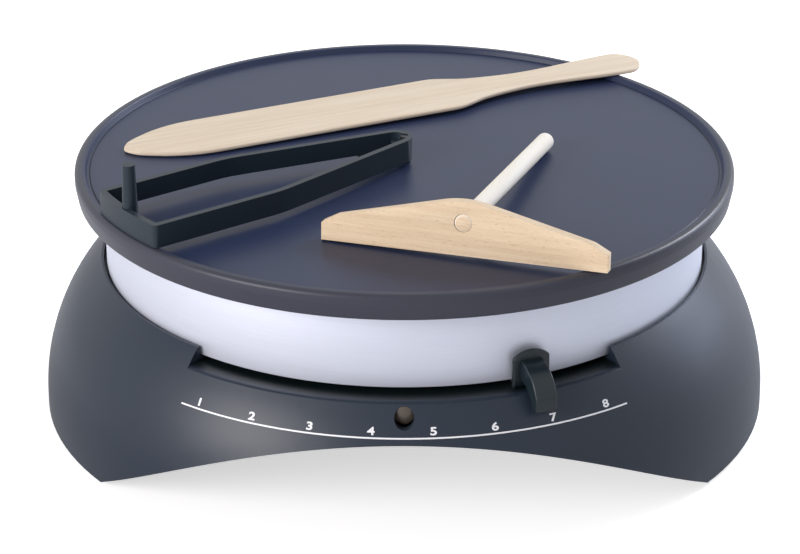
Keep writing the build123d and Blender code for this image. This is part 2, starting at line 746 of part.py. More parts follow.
def spreader_side(side, reach, inset):
    """Three points of a long wall, set in by a wall: on the nose, at the bend and at the outer end."""
    nose_x, nose_y = spreader_nose
    across, along = reach - side * nose_x, spreader_bend + nose_y
    lean = atan2(across, along) - asin(spreader_nose_radius / sqrt(across ** 2 + along ** 2))
    nose, end = spreader_nose_radius - inset, spreader_end_radius - inset
    start = (nose_x + side * nose * cos(lean), nose_y + nose * sin(lean))
    bend = (side * (reach - inset), -(spreader_bend - inset * tan(lean / 2)))
    return start, bend, (bend[0], -sqrt(end ** 2 - bend[0] ** 2))


def spreader_outline(inset):
    """The spreader's plan, set in by a wall: a wedge that widens to a parallel part with a round end."""
    near = spreader_side(1, spreader_near_side, inset)
    far = spreader_side(-1, spreader_far_side, inset)
    plan = make_face([
        Polyline(*near), ThreePointArc(near[2], (0, inset - spreader_end_radius), far[2]),
        Polyline(*reversed(far)), Line(far[0], near[0])])
    plan = rounded(plan, [near[2], far[2]], max(spreader_corner_radius - inset, 0.3))
    plan = rounded(plan, [near[1], far[1]], spreader_bend_radius - inset)
    return plan + Pos(*spreader_nose) * Circle(spreader_nose_radius - inset)


def spreader_frame():
    """Moulded frame that turns about the pin at the plate's centre, with the finger peg on its outer end."""
    plan = spreader_outline(0)
    boss = plan & Circle(pivot_boss_radius)
    frame = extrude(plan - spreader_outline(spreader_wall) + boss, spreader_height)
    low, high = back_wall_cut
    under_wall = Pos(-spreader_far_side, -(low + high) / 2, 0)
    frame -= under_wall * Box(2 * (spreader_far_side - pivot_boss_radius), high - low, 2 * back_wall_lift)
    frame += rod(pivot_foot_radius, -bead_height, spreader_height / 2)
    frame -= rod(pivot_radius + running_clearance, -bead_height - 1, spreader_height + 1)
    peg_place = (peg_across, -(spreader_end_radius - peg_radius - peg_set_back))
    foot = rod(peg_radius, 0, spreader_height, peg_place)
    peg = Pos(*peg_place, spreader_height + peg_height / 2) * Cone(peg_radius, peg_top_radius, peg_height)
    peg = fillet(peg.edges().group_by(Axis.Z)[-1], peg_round_radius)
    return at_spreader(frame + foot + peg)


def pivot_pin():
    """Steel pin that stands in the plate's blind hole and carries the spreader's narrow end."""
    low = plate_face - pivot_hole_depth + rest_gap
    return rod(pivot_radius, low, spreader_floor + spreader_height - pin_below_top)


# ---------------------------------------------------------------- wooden tools
def spatula():
    """Flat turning spatula: long blade with a rounded point, waist, and a grip that rests over the bead."""
    tip_end = (blade_tip_length, blade_half_width)
    upper = Spline((0, 0), *blade_tip_curve, tip_end, tangents=((0, 1), (1, 0)))
    waist = Spline((blade_length, blade_half_width), (throat_distance, throat_half_width), (neck_distance, neck_half_width),
                   (grip_distance, grip_half_width), tangents=((1, 0), (1, 0)))
    end = Spline((grip_distance, grip_half_width), (spatula_length, 0), tangents=((1, 0), (0, -1)))
    half = [upper, Line(tip_end, (blade_length, blade_half_width)), waist, end]
    plan = make_face(half + [mirror(piece, Plane.XZ) for piece in half])
    blank = extrude(plan, spatula_thickness)
    x, y = spatula_tip
    ahead = x * cos(radians(spatula_heading)) + y * sin(radians(spatula_heading))
    crossing = sqrt(ahead ** 2 - x ** 2 - y ** 2 + bead_top_radius ** 2) - ahead
    tilt = degrees(asin(bead_height / crossing))
    return Pos(*spatula_tip, loose_floor) * Rot(0, 0, spatula_heading) * Rot(0, -tilt, 0) * blank


def at_rake(shape):
    """Lay a rake piece down: its handle's end and the head's left corner on the plate, its right on the bead."""
    lean = degrees(asin((dowel_height - dowel_radius + bead_height / 2) / dowel_length))
    roll = degrees(asin(bead_height / rake_length))
    settle = rake_thickness * sin(radians(lean)) + rest_gap
    return (Pos(*rake_corner, plate_face + settle) * Rot(0, 0, rake_heading) * Rot(0, -roll, 0)
            * Rot(-lean, 0, 0) * shape)


def rake_head():
    """Head of the rake: low ends, sloping shoulders and a rounded crown, bored for the dowel."""
    middle = rake_length / 2
    left = [(0, rake_end_height), (rake_shoulder_length, rake_shoulder_height)]
    crown_left = (middle - rake_crown_half_width, rake_slope_top_height)
    crown_right = (middle + rake_crown_half_width, rake_slope_top_height)
    right = [(rake_length - x, z) for x, z in reversed(left)]
    outline = make_face([
        Polyline((0, 0), *left, crown_left), ThreePointArc(crown_left, (middle, rake_crown_height), crown_right),
        Polyline(crown_right, *right, (rake_length, 0)), Line((rake_length, 0), (0, 0))])
    head = Pos(0, rake_thickness, 0) * extrude(Plane.XZ * outline, rake_thickness)
    faces = head.faces().filter_by(Axis.Y)
    head = fillet([e for face in faces for e in face.edges()], rake_edge_radius)
    hole = Pos(middle, rake_thickness / 2, dowel_height) * Rot(90, 0, 0) * Cylinder(dowel_radius, 3 * rake_thickness)
    return at_rake(head - hole)


def rake_handle():
    """Dowel through the head, flush with its front face, with a rounded far end."""
    length = dowel_length + rake_thickness
    dowel = Cylinder(dowel_radius, length, align=(Align.CENTER, Align.CENTER, Align.MIN))
    dowel = fillet(dowel.edges().group_by(Axis.Z)[-1], dowel_round_radius)
    return at_rake(Pos(rake_length / 2, 0, dowel_height) * Rot(-90, 0, 0) * dowel)


nodes = {
    "base_shell": base_shell(),
    "bottom_cover": bottom_cover(),
    "cover_screws": cover_screws(),
    "foot_front_right": foot(foot_bearings[0]),
    "foot_back_right": foot(foot_bearings[1]),
    "foot_back_left": foot(foot_bearings[2]),
    "foot_front_left": foot(foot_bearings[3]),
    "cooking_plate": cooking_plate(),
    "metal_band": metal_band(),
    "reflector_pan": reflector_pan(),
    "plate_studs": plate_studs(),
    "stud_nuts": stud_nuts(),
    "spacer_tubes": spacer_tubes(),
    "heating_element": heating_element(),
    "terminal_beads": terminal_beads(),
    "element_clips": element_clips(),
    "thermostat_bracket": thermostat_bracket(),
    "thermostat_body": thermostat_body(),
    "thermal_fuse": thermal_fuse(),
    "thermostat_spindle": thermostat_spindle(),
    "spindle_nut": spindle_nut(),
    "lever_arm": lever_arm(),
    "lever_knob": lever_knob(),
    "indicator_lens": indicator_lens(),
    "indicator_lamp": indicator_lamp(),
    "lamp_holder": lamp_holder(),
    "terminal_block": terminal_block(),
    "cord_gland": cord_gland(),
    "pivot_pin": pivot_pin(),
    "spreader_frame": spreader_frame(),
    "spatula": spatula(),
    "rake_head": rake_head(),
    "rake_handle": rake_handle(),
}

os.makedirs("parts", exist_ok=True)
for name, shape in nodes.items():
    if isinstance(shape, list):
        shape = Compound(children=shape)
    export_step(shape, f"parts/{name}.step")
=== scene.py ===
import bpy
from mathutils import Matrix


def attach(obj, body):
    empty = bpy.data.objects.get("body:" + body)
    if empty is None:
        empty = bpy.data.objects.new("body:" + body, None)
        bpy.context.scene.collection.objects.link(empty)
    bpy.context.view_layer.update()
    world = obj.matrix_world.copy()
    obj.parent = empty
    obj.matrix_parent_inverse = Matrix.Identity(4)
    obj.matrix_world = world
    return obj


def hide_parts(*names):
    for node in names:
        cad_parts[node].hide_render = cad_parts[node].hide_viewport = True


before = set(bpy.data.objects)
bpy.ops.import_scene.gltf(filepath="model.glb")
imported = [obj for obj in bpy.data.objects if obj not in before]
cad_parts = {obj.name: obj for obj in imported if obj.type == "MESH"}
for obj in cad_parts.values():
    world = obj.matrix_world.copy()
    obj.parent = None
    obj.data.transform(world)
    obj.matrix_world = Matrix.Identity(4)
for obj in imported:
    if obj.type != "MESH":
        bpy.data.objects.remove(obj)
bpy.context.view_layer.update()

from math import asin, atan2, cos, degrees, pi, radians, sin, sqrt, tan

import bpy
from mathutils import Matrix, Vector

# Electric crepe maker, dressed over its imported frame. Lengths below are in millimetres and are scaled
# by MM where a piece is made. A bearing is in degrees round the plate, from the front (-Y) towards +X.
MM = 0.001
TURNED_STEPS = 300           # flats round a turned piece

BASE_RADIUS = 192.0
WIDEST_HEIGHT = 8.0          # where the flank is widest
LIP_TOP = 83.4
LIP_OUTER = 160.5
LEDGE_TOP = 78.2             # the band stands on it

BAND_RADIUS = 157.6
BAND_SHEET = 0.8
BAND_PLAY = 0.4              # between the band and the plate's skirt

PLATE_RADIUS = 172.5
PLATE_UNDER = 122.0
PLATE_SKIRT = 1.7            # how far the rim hangs below the plate's underside
PLATE_FACE = 131.5
BEAD_TOP = 134.0
BEAD_FOOT = 166.0
BEAD_TOP_RADIUS = 167.3
BEAD_HEIGHT = BEAD_TOP - PLATE_FACE
GROOVE_DEPTH = 0.4           # the fine groove at the bead's foot
GROOVE_WIDTH = 1.2
PIN_HOLE_RADIUS = 2.1
PIN_HOLE_DEPTH = 4.5
PIN_HOLE_CHAMFER = 0.8

REST_GAP = 0.3               # loose pieces rest this far above what carries them
LOOSE_FLOOR = PLATE_FACE + REST_GAP
SPREADER_FLOOR = BEAD_TOP + REST_GAP

LEVER_BEARING = 22.4
ARM_UNDER = 75.9
TAB_FRONT = 160.4
TAB_SHEET = 2.2
GRIP_WIDTH = 11.4

SPREADER_BEARING = 306.2
SPREADER_HEIGHT = 12.1
SPREADER_WALL = 3.3
SPREADER_NEAR_SIDE = 24.0
SPREADER_FAR_SIDE = 31.0
SPREADER_BEND = 93.0         # distance out at which the two walls turn parallel
SPREADER_BEND_RADIUS = 60.0
SPREADER_END_RADIUS = 170.0
SPREADER_CORNER_RADIUS = 2.5
NOSE_PLACE = (-1.5, -5.4)    # the middle of the nose, from the pivot
NOSE_RADIUS = 9.3
PIVOT_BOSS_RADIUS = 7.0
PIVOT_BOSS_DROP = 3.5        # how far its top lies below the walls' tops
PIVOT_FOOT_RADIUS = 3.4
PIVOT_HOLE_RADIUS = 2.05
WALL_GAP_MIDDLE = (-22.0, -88.0)
WALL_GAP_SIZE = (30.0, 136.0)
WALL_GAP_HEIGHT = 1.9        # the far wall is this much higher underneath
PEG_PLACE = (-3.9, -165.3)
PEG_RADIUS = 3.9
PEG_TOP_RADIUS = 3.2
PEG_HEIGHT = 22.6

SPATULA_TIP = (-148.0, 11.8)
SPATULA_HEADING = 24.45
SPATULA_THICKNESS = 2.4
SPATULA_LENGTH = 307.5
BLADE_TIP_LENGTH = 46.0
BLADE_LENGTH = 184.0
BLADE_HALF_WIDTH = 22.1
THROAT_DISTANCE = 206.0      # between the blade and the neck
THROAT_HALF_WIDTH = 14.7
NECK_DISTANCE = 227.0        # where the handle is narrowest
NECK_HALF_WIDTH = 10.9
GRIP_DISTANCE = 296.0
GRIP_HALF_WIDTH = 13.9

RAKE_CORNER = (-41.1, -102.6)
RAKE_HEADING = -18.2
RAKE_LENGTH = 146.0
RAKE_MIDDLE = RAKE_LENGTH / 2
RAKE_THICKNESS = 5.6
RAKE_END_HEIGHT = 9.0
RAKE_SHOULDER_LENGTH = 8.0
RAKE_SHOULDER_HEIGHT = 13.3
RAKE_CROWN_HEIGHT = 27.7
RAKE_CROWN_HALF_WIDTH = 14.0
RAKE_SLOPE_TOP_HEIGHT = 25.7
DOWEL_HEIGHT = 16.7          # of its hole's middle in the head
DOWEL_HOLE_RADIUS = 4.65
DOWEL_RADIUS = 4.6
DOWEL_LENGTH = 143.2         # behind the head

SCALE_HEIGHT = 60.8          # the printed line's height on the flank
SCALE_HALF_ANGLE = 38.1
SCALE_LINE_WIDTH = 0.8
PRINT_LIFT = 0.05            # how far the print lies above the flank
NUMBER_STEP = 9.83           # degrees from one number to the next
NUMBER_SHIFT = -0.3          # degrees by which the row of numbers is off the line's middle
NUMBER_HEIGHT = 3.9
NUMBER_RISE = 1.6            # from the line's middle to a number's foot
NUMBER_WIDENING = 1.35
FONT_SIZE = 1.37             # that gives digits 1 high
FONT_WEIGHT = 0.032          # by which the digits' strokes are widened, at size 1

lip_lean = BASE_RADIUS - LIP_OUTER
FLANK_RADIUS = (lip_lean ** 2 + (LIP_TOP - WIDEST_HEIGHT) ** 2) / (2 * lip_lean)
FLANK_CENTRE = BASE_RADIUS - FLANK_RADIUS
SCALE_RADIUS = FLANK_CENTRE + sqrt(FLANK_RADIUS ** 2 - (SCALE_HEIGHT - WIDEST_HEIGHT) ** 2)

# studio; the floor and the lamps are placed in metres
FLOOR_SIZE = 12.0
FLOOR_LEVEL = -0.0005        # just under the feet
FLOOR_GLOW = 0.6             # added to the floor's lit paint for the camera and through glass
FLOOR_GLINT = 0.05           # and in what glossy surfaces reflect of it
WORLD_LIGHT = 0.3            # the world's strength on the object
LAMP_TARGET = (0, 0, 0.1)
CAMERA_TARGET = (-2.29, 0.0, 64.56)
CAMERA_DISTANCE = 1601.3
CAMERA_ELEVATION = 24.75
CAMERA_BEARING = 0.09
CAMERA_LENS = 134.75
CAMERA_SENSOR = 36.0


# ---------------------------------------------------------------- bench tools
def deselect_all():
    """Leave nothing selected."""
    bpy.ops.object.select_all(action="DESELECT")


def pick(piece):
    """Make this piece the only one selected, and the active one."""
    deselect_all()
    piece.select_set(True)
    bpy.context.view_layer.objects.active = piece


def select_mesh():
    """Select all of the mesh that is being edited."""
    bpy.ops.mesh.select_all(action="SELECT")


def into_edit(piece):
    """Open a piece for editing by its vertices, all of them selected."""
    pick(piece)
    bpy.ops.object.mode_set(mode="EDIT")
    bpy.ops.mesh.select_mode(type="VERT")
    select_mesh()


def out_of_edit():
    """Close the piece that is being edited."""
    bpy.ops.object.mode_set(mode="OBJECT")


def rounded(corners, steps=5):
    """An outline whose corners are rounded. Each corner is (x, y) or (x, y, radius)."""
    points = []
    count = len(corners)
    for i, corner in enumerate(corners):
        here = Vector(corner[:2])
        radius = corner[2] if len(corner) > 2 else 0.0
        if radius <= 0:
            points.append(tuple(here))
            continue
        back = (Vector(corners[i - 1][:2]) - here).normalized()
        ahead = (Vector(corners[(i + 1) % count][:2]) - here).normalized()
        half = back.angle(ahead) / 2
        middle = here + (back + ahead).normalized() * (radius / sin(half))
        first = here + back * (radius / tan(half)) - middle
        last = here + ahead * (radius / tan(half)) - middle
        sweep = first.angle_signed(last)
        for step in range(steps + 1):
            a = -sweep * step / steps
            points.append((middle.x + first.x * cos(a) - first.y * sin(a),
                           middle.y + first.x * sin(a) + first.y * cos(a)))
    return points


def crown_arc(middle, top, half_width, rise, steps):
    """Points of a shallow crown, from its right end over its top to its left end."""
    radius = (half_width ** 2 + rise ** 2) / (2 * rise)
    reach = asin(half_width / radius)
    angles = [a * reach / steps for a in range(steps, -steps - 1, -1)]
    return [(middle + radius * sin(a), top - radius * (1 - cos(a))) for a in angles]


def chain(name, points):
    """A row of points joined by edges, drawn one after the other with the extrude tool."""
    deselect_all()
    bpy.ops.mesh.primitive_plane_add(size=MM)
    piece = bpy.context.object
    piece.name = piece.data.name = name
    into_edit(piece)
    bpy.ops.mesh.merge(type="CENTER")
    bpy.ops.transform.translate(value=Vector(points[0]) * MM)
    for before, after in zip(points, points[1:]):
        step = (Vector(after) - Vector(before)) * MM
        bpy.ops.mesh.extrude_vertices_move(TRANSFORM_OT_translate={"value": step})
    return piece


def turned(name, outline, closed=True):
    """A piece turned about the Z axis from an outline of (radius, height) points."""
    points = [(r, 0.0, z) for r, z in outline]
    if closed:
        points.append(points[0])
    piece = chain(name, points)
    select_mesh()
    bpy.ops.mesh.spin(steps=TURNED_STEPS, angle=2 * pi, center=(0, 0, 0), axis=(0, 0, 1))
    select_mesh()
    bpy.ops.mesh.remove_doubles(threshold=MM * 0.002)
    bpy.ops.mesh.normals_make_consistent(inside=False)
    out_of_edit()
    return piece


def curve_through(points, first, last, steps):
    """Points of a smooth curve through the given ones, with the directions it leaves and arrives in."""
    spots = [Vector(point) for point in points]
    gaps = [(after - before).length for before, after in zip(spots, spots[1:])]
    slopes = [Vector(first).normalized()]
    for i in range(1, len(spots) - 1):
        back, ahead = gaps[i - 1], gaps[i]
        slope = (spots[i] - spots[i - 1]) * (ahead / back) + (spots[i + 1] - spots[i]) * (back / ahead)
        slopes.append(slope / (back + ahead))
    slopes.append(Vector(last).normalized())
    curve = [tuple(spots[0])]
    for i, gap in enumerate(gaps):
        for step in range(1, steps + 1):
            t = step / steps
            near, out_of, into = 2 * t ** 3 - 3 * t ** 2 + 1, t ** 3 - 2 * t ** 2 + t, t ** 3 - t ** 2
            straight = spots[i] * near + spots[i + 1] * (1 - near)
            curve.append(tuple(straight + (slopes[i] * out_of + slopes[i + 1] * into) * gap))
    return curve


def flat_blank(name, outline, thickness):
    """A flat blank cut to an outline of (x, y) points, its underside at z = 0."""
    piece = chain(name, [(x, y, 0.0) for x, y in [*outline, outline[0]]])
    select_mesh()
    bpy.ops.mesh.remove_doubles(threshold=MM * 0.002)
    select_mesh()
    bpy.ops.mesh.edge_face_add()
    bpy.ops.mesh.extrude_region_move(TRANSFORM_OT_translate={"value": (0, 0, thickness * MM)})
    select_mesh()
    bpy.ops.mesh.normals_make_consistent(inside=False)
    out_of_edit()
    return piece


def soften(piece, radius, steps=3, angle=30):
    """Round over every edge that is sharper than an angle."""
    bevel = piece.modifiers.new("edge", "BEVEL")
    bevel.width = radius * MM
    bevel.segments = steps
    bevel.limit_method = "ANGLE"
    bevel.angle_limit = radians(angle)
    pick(piece)
    bpy.ops.object.modifier_apply(modifier="edge")


def combine(piece, tool, how):
    """Cut a tool out of a piece, keep only what they share, or fuse it on."""
    joint = piece.modifiers.new("cut", "BOOLEAN")
    joint.operation = how
    joint.solver = "EXACT"
    joint.object = tool
    pick(piece)
    bpy.ops.object.modifier_apply(modifier="cut")
    bpy.data.objects.remove(tool)


def peg(name, radius, low, high, at=(0.0, 0.0), sides=48):
    """An upright round peg between two heights."""
    deselect_all()
    bpy.ops.mesh.primitive_cylinder_add(vertices=sides, radius=radius * MM, depth=(high - low) * MM,
                                        location=Vector((at[0], at[1], (low + high) / 2)) * MM)
    piece = bpy.context.object
    piece.name = piece.data.name = name
    bpy.ops.object.transform_apply(location=True)
    return piece


def set_down(piece, place):
    """Move a finished piece to its place, and keep that place in its mesh."""
    piece.matrix_world = place
    pick(piece)
    bpy.ops.object.transform_apply(location=True, rotation=True, scale=True)


def shift(x, y, z):
    """A move, in millimetres."""
    return Matrix.Translation(Vector((x, y, z)) * MM)


def turn(angle, axis):
    """A turn about X, Y or Z, in degrees."""
    return Matrix.Rotation(radians(angle), 4, axis)


def smooth(piece, angle=35):
    """Shade a piece smooth, except over edges sharper than an angle."""
    pick(piece)
    bpy.ops.object.shade_smooth_by_angle(angle=radians(angle))


def finish(piece, body, nodes, stuff):
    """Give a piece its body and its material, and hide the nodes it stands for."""
    piece.data.materials.clear()
    piece.data.materials.append(stuff)
    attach(piece, body)
    if nodes:
        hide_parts(*nodes)


# ---------------------------------------------------------------- material tools
def blank(name):
    """A new material, and its principled shader."""
    stuff = bpy.data.materials.new(name)
    stuff.use_nodes = True
    return stuff, stuff.node_tree.nodes["Principled BSDF"]


def feed(tree, socket, value):
    """Set an input to a value, or link it to another node's output."""
    if isinstance(value, bpy.types.NodeSocket):
        tree.links.new(value, socket)
    else:
        socket.default_value = value


def node(tree, kind, **inputs):
    """A new node with its named inputs fed."""
    made = tree.nodes.new(kind)
    for label, value in inputs.items():
        feed(tree, made.inputs[label.replace("_", " ")], value)
    return made


def maths(tree, operation, *values):
    """The result of a sum whose inputs are fed in order."""
    made = tree.nodes.new("ShaderNodeMath")
    made.operation = operation
    for socket, value in zip(made.inputs, values):
        feed(tree, socket, value)
    return made.outputs[0]


def mixed(tree, factor, first, second):
    """A blend of two colours: the first at factor 0, the second at factor 1."""
    made = tree.nodes.new("ShaderNodeMix")
    made.data_type = "RGBA"
    feed(tree, made.inputs["Factor"], factor)
    feed(tree, made.inputs["A"], first)
    feed(tree, made.inputs["B"], second)
    return made.outputs["Result"]


def object_place(tree):
    """Where on its piece a point lies."""
    return tree.nodes.new("ShaderNodeTexCoord").outputs["Object"]


def group(name, inputs):
    """An empty node group with its inputs (name, kind, default), which gives a surface's three maps."""
    tree = bpy.data.node_groups.new(name, "ShaderNodeTree")
    for label, kind, value in inputs:
        socket = tree.interface.new_socket(label, in_out="INPUT", socket_type=kind)
        socket.default_value = value
    for label, kind in (("Colour", "Color"), ("Roughness", "Float"), ("Height", "Float")):
        tree.interface.new_socket(label, in_out="OUTPUT", socket_type="NodeSocket" + kind)
    return tree, tree.nodes.new("NodeGroupInput").outputs, tree.nodes.new("NodeGroupOutput").inputs


def vary(tree, given, out, noise, middle, share):
    """Let a noise, about its middle, vary the group's colour and roughness by a share."""
    centred = maths(tree, "SUBTRACT", noise, middle)
    spread = maths(tree, "MULTIPLY_ADD", centred, share, 1.0)
    tone = tree.nodes.new("ShaderNodeVectorMath")
    tone.operation = "SCALE"
    feed(tree, tone.inputs[0], given["Colour"])
    feed(tree, tone.inputs["Scale"], spread)
    feed(tree, out["Colour"], tone.outputs[0])
    feed(tree, out["Roughness"], maths(tree, "MULTIPLY", given["Roughness"], spread))


def moulding_grain():
    """Fine spark-eroded texture with a slow drift of tone. The grain's size is in millimetres."""
    tree, given, out = group("moulding grain", [
        ("Colour", "NodeSocketColor", (0.1, 0.1, 0.1, 1)), ("Grain size", "NodeSocketFloat", 0.5),
        ("Drift", "NodeSocketFloat", 0.08), ("Roughness", "NodeSocketFloat", 0.45)])
    place = object_place(tree)
    per_metre = maths(tree, "DIVIDE", 1000.0, given["Grain size"])
    fine = node(tree, "ShaderNodeTexNoise", Vector=place, Scale=per_metre, Detail=3.0, Roughness=0.6)
    broad = node(tree, "ShaderNodeTexNoise", Vector=place, Scale=22.0, Detail=4.0, Roughness=0.55)
    both = maths(tree, "ADD", fine.outputs["Fac"], broad.outputs["Fac"])
    vary(tree, given, out, both, 1.0, given["Drift"])
    feed(tree, out["Height"], fine.outputs["Fac"])
    return tree


def drawn_lines():
    """Lines left by rolling, brushing or turning: a noise squeezed along one direction."""
    tree, given, out = group("drawn lines", [
        ("Colour", "NodeSocketColor", (0.7, 0.7, 0.7, 1)), ("Roughness", "NodeSocketFloat", 0.3),
        ("Depth", "NodeSocketFloat", 0.15), ("Scale", "NodeSocketVector", (30, 30, 4000))])
    squeezed = node(tree, "ShaderNodeMapping", Vector=object_place(tree), Scale=given["Scale"])
    lines = node(tree, "ShaderNodeTexNoise", Vector=squeezed.outputs[0], Scale=1.0, Detail=4.0, Roughness=0.6)
    vary(tree, given, out, lines.outputs["Fac"], 0.5, given["Depth"])
    feed(tree, out["Height"], lines.outputs["Fac"])
    return tree


def wood_grain():
    """Beech: long soft grain, and short dark rays that lie along it."""
    tree, given, out = group("beech grain", [
        ("Early wood", "NodeSocketColor", (0.75, 0.6, 0.43, 1)),
        ("Late wood", "NodeSocketColor", (0.6, 0.44, 0.28, 1)),
        ("Ray colour", "NodeSocketColor", (0.38, 0.24, 0.13, 1)),
        ("Turn", "NodeSocketVector", (0, 0, 0)), ("Rays", "NodeSocketFloat", 0.35)])
    along_grain = node(tree, "ShaderNodeMapping", Vector=object_place(tree), Rotation=given["Turn"])

    def stretched(scale, detail, distortion=0.0):
        """A noise drawn out along the grain."""
        squeezed = node(tree, "ShaderNodeMapping", Vector=along_grain.outputs[0], Scale=scale)
        noise = node(tree, "ShaderNodeTexNoise", Vector=squeezed.outputs[0], Scale=1.0, Detail=detail,
                     Roughness=0.6, Distortion=distortion)
        return noise.outputs["Fac"]

    long_grain = stretched((9, 260, 260), 4.0, 0.3)
    fine_grain = stretched((60, 2200, 2200), 3.0)
    rays = stretched((330, 2600, 2600), 2.0)
    blend = maths(tree, "MULTIPLY_ADD", fine_grain, 0.45, long_grain)
    late = node(tree, "ShaderNodeMapRange", Value=blend, From_Min=0.5, From_Max=0.95)
    wood = mixed(tree, late.outputs["Result"], given["Early wood"], given["Late wood"])
    dark = node(tree, "ShaderNodeMapRange", Value=rays, From_Min=0.6, From_Max=0.72)
    share = maths(tree, "MULTIPLY", dark.outputs["Result"], given["Rays"])
    rough = node(tree, "ShaderNodeMapRange", Value=fine_grain, To_Min=0.6, To_Max=0.78)
    feed(tree, out["Colour"], mixed(tree, share, wood, given["Ray colour"]))
    feed(tree, out["Roughness"], rough.outputs["Result"])
    feed(tree, out["Height"], blend)
    return tree


GRAIN, LINES, WOOD = moulding_grain(), drawn_lines(), wood_grain()


def dressed(name, recipe, bump, metal=0.0, gloss=0.5, **values):
    """A material whose maps come from one of the groups above. The bump is its strength and its depth."""
    stuff, shader = blank(name)
    tree = stuff.node_tree
    effect = tree.nodes.new("ShaderNodeGroup")
    effect.node_tree = recipe
    for label, value in values.items():
        effect.inputs[label.replace("_", " ")].default_value = value
    strength, depth = bump
    relief = node(tree, "ShaderNodeBump", Strength=strength, Distance=depth * MM,
                  Height=effect.outputs["Height"])
    feed(tree, shader.inputs["Normal"], relief.outputs["Normal"])
    feed(tree, shader.inputs["Base Color"], effect.outputs["Colour"])
    feed(tree, shader.inputs["Roughness"], effect.outputs["Roughness"])
    shader.inputs["Metallic"].default_value = metal
    shader.inputs["Specular IOR Level"].default_value = gloss
    return stuff


def second_tone(stuff, colour, ring, level):
    """A second tone, or a painted shade: full at the first radius of a ring and the first level, and gone at
    the second ones.
    """
    tree = stuff.node_tree
    base_colour = tree.nodes["Principled BSDF"].inputs["Base Color"]
    first = base_colour.links[0].from_socket
    place = object_place(tree)
    flat = node(tree, "ShaderNodeMapping", Vector=place, Scale=(1, 1, 0))
    radius = tree.nodes.new("ShaderNodeVectorMath")
    radius.operation = "LENGTH"
    feed(tree, radius.inputs[0], flat.outputs[0])
    height = node(tree, "ShaderNodeSeparateXYZ", Vector=place)
    in_ring = node(tree, "ShaderNodeMapRange", Value=radius.outputs["Value"],
                   From_Min=ring[1] * MM, From_Max=ring[0] * MM)
    at_level = node(tree, "ShaderNodeMapRange", Value=height.outputs["Z"],
                    From_Min=level[1] * MM, From_Max=level[0] * MM)
    both = maths(tree, "MULTIPLY", in_ring.outputs["Result"], at_level.outputs["Result"])
    feed(tree, base_colour, mixed(tree, both, first, colour))


def clear_plastic(name, colour, rough, through):
    """Tinted clear plastic or glass, in places a little darker."""
    stuff, shader = blank(name)
    tree = stuff.node_tree
    flow = node(tree, "ShaderNodeTexNoise", Vector=object_place(tree), Scale=900.0, Detail=2.0)
    darker = tuple(0.8 * part for part in colour[:3]) + (1,)
    feed(tree, shader.inputs["Base Color"], mixed(tree, flow.outputs["Fac"], colour, darker))
    shader.inputs["Roughness"].default_value = rough
    shader.inputs["Transmission Weight"].default_value = through
    return stuff


# ---------------------------------------------------------------- materials
base_plastic = dressed("charcoal moulded plastic", GRAIN, (0.25, 0.02), gloss=0.33,
                       Colour=(0.016, 0.024, 0.04, 1), Grain_size=0.45, Drift=0.1, Roughness=0.39)
cover_plastic = dressed("black cover plastic", GRAIN, (0.3, 0.03),
                        Colour=(0.022, 0.022, 0.024, 1), Grain_size=0.6, Drift=0.15, Roughness=0.55)
knob_plastic = dressed("satin knob plastic", GRAIN, (0.12, 0.02), gloss=0.4,
                       Colour=(0.008, 0.016, 0.021, 1), Grain_size=0.3, Drift=0.1, Roughness=0.34)
spreader_plastic = dressed("satin black plastic", GRAIN, (0.15, 0.02), gloss=0.27,
                           Colour=(0.016, 0.025, 0.036, 1), Grain_size=0.35, Drift=0.12, Roughness=0.38)
brown_plastic = dressed("brown moulded plastic", GRAIN, (0.2, 0.02),
                        Colour=(0.07, 0.03, 0.015, 1), Grain_size=0.4, Drift=0.1, Roughness=0.35)
rubber = dressed("matt rubber", GRAIN, (0.4, 0.05),
                 Colour=(0.018, 0.018, 0.018, 1), Grain_size=0.4, Drift=0.2, Roughness=0.75)
plate_coating = dressed("non-stick coating", GRAIN, (0.18, 0.02), gloss=0.25,
                        Colour=(0.021, 0.031, 0.072, 1), Grain_size=0.28, Drift=0.12, Roughness=0.35)
ceramic = dressed("white ceramic", GRAIN, (0.3, 0.03),
                  Colour=(0.78, 0.76, 0.7, 1), Grain_size=0.3, Drift=0.06, Roughness=0.6)
white_ink = dressed("white printing ink", GRAIN, (0.1, 0.01),
                    Colour=(0.85, 0.86, 0.9, 1), Grain_size=0.2, Drift=0.05, Roughness=0.5)

band_steel = dressed("brushed band steel", LINES, (0.12, 0.01), 0.65,
                     Colour=(0.66, 0.69, 0.79, 1), Roughness=0.55, Depth=0.2, Scale=(25, 25, 5000))
zinc = dressed("zinc plated steel", LINES, (0.1, 0.01), 1.0,
               Colour=(0.62, 0.62, 0.6, 1), Roughness=0.36, Depth=0.3, Scale=(900, 900, 900))
black_steel = dressed("blackened steel", LINES, (0.1, 0.01), 1.0,
                      Colour=(0.05, 0.055, 0.06, 1), Roughness=0.4, Depth=0.3, Scale=(900, 900, 900))
pan_metal = dressed("pressed aluminium", LINES, (0.1, 0.01), 1.0,
                    Colour=(0.78, 0.78, 0.78, 1), Roughness=0.32, Depth=0.3, Scale=(300, 300, 300))
sheath = dressed("annealed sheath", LINES, (0.15, 0.02), 1.0,
                 Colour=(0.2, 0.19, 0.17, 1), Roughness=0.5, Depth=0.4, Scale=(400, 400, 400))

